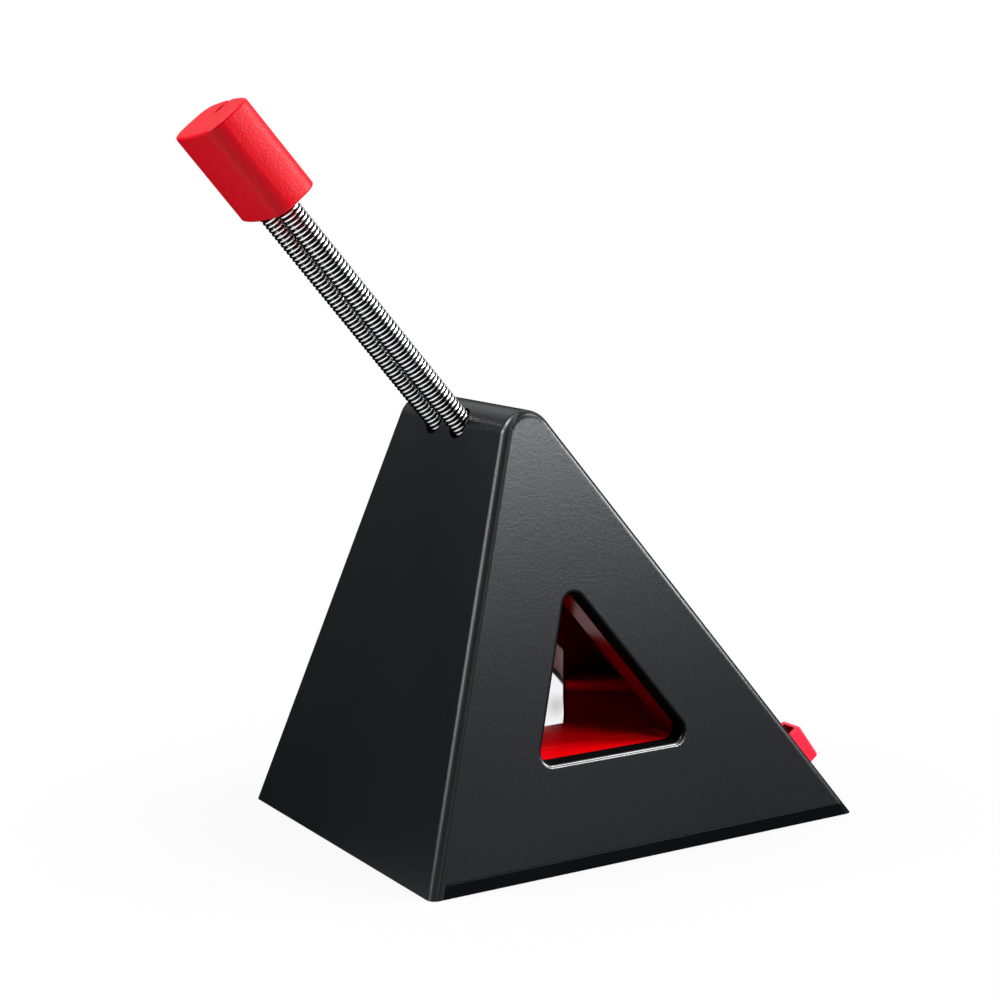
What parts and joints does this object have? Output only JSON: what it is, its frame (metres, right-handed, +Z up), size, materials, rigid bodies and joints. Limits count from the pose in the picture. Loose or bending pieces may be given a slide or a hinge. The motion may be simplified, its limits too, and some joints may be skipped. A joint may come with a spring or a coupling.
{
  "type": "mouse bungee",
  "caption": "Weighted wedge-shaped stand with side windows, whose coil-spring arm carries a slotted rubber head that holds a mouse cable off the desk.",
  "frame": {"origin": "middle of the sole's lower face, on the table", "axes": "+Z up, -Y towards the front, where the arm leans out, +X to the right as seen from the front"},
  "size_m": [0.0722, 0.1208, 0.1394],
  "materials": {
    "black_shell": "fine satin grain",
    "black_base": "smooth moulded",
    "sole_rubber": "matt rubber",
    "red_gloss": "high gloss",
    "red_rubber": "satin rubber",
    "red_clip": "smooth moulded",
    "bright_steel": "polished and plated",
    "screw_steel": "plain steel"
  },
  "bodies": {
    "stand": {"housing": "black_shell", "base_plate": "black_base", "sole_pad": "sole_rubber", "floor_tray": "red_gloss", "inner_liner": "red_gloss", "chamber_deck": "red_gloss", "ballast_block": "bright_steel", "spring_block": "black_base", "anchor_pin_left": "screw_steel", "anchor_pin_right": "screw_steel", "rear_clip_left": "red_clip", "rear_clip_right": "red_clip", "base_screws": "screw_steel", "ballast_screws": "screw_steel", "block_screws": "screw_steel"},
    "spring_arm": {"spring_left": "bright_steel", "spring_right": "bright_steel"},
    "head": {"cable_head": "red_rubber", "head_core": "black_base"}
  },
  "joints": [
    {"name": "arm_dip", "type": "hinge", "parent": "stand", "child": "spring_arm", "pos_m": [-0.00237, -0.03052, 0.08901], "axis": [1, 0, 0], "range_deg": [-25, 35], "stiffness_Nm_per_rad": 0.15, "springref_deg": -0.73, "deforming": ["spring_left", "spring_right"]},
    {"name": "arm_sway", "type": "hinge", "parent": "spring_arm", "child": "head", "pos_m": [-0.00462, -0.04795, 0.11016], "axis": [0, 0.7716, 0.6361], "range_deg": [-30, 30], "stiffness_Nm_per_rad": 0.12, "deforming": ["spring_left", "spring_right"]}
  ]
}
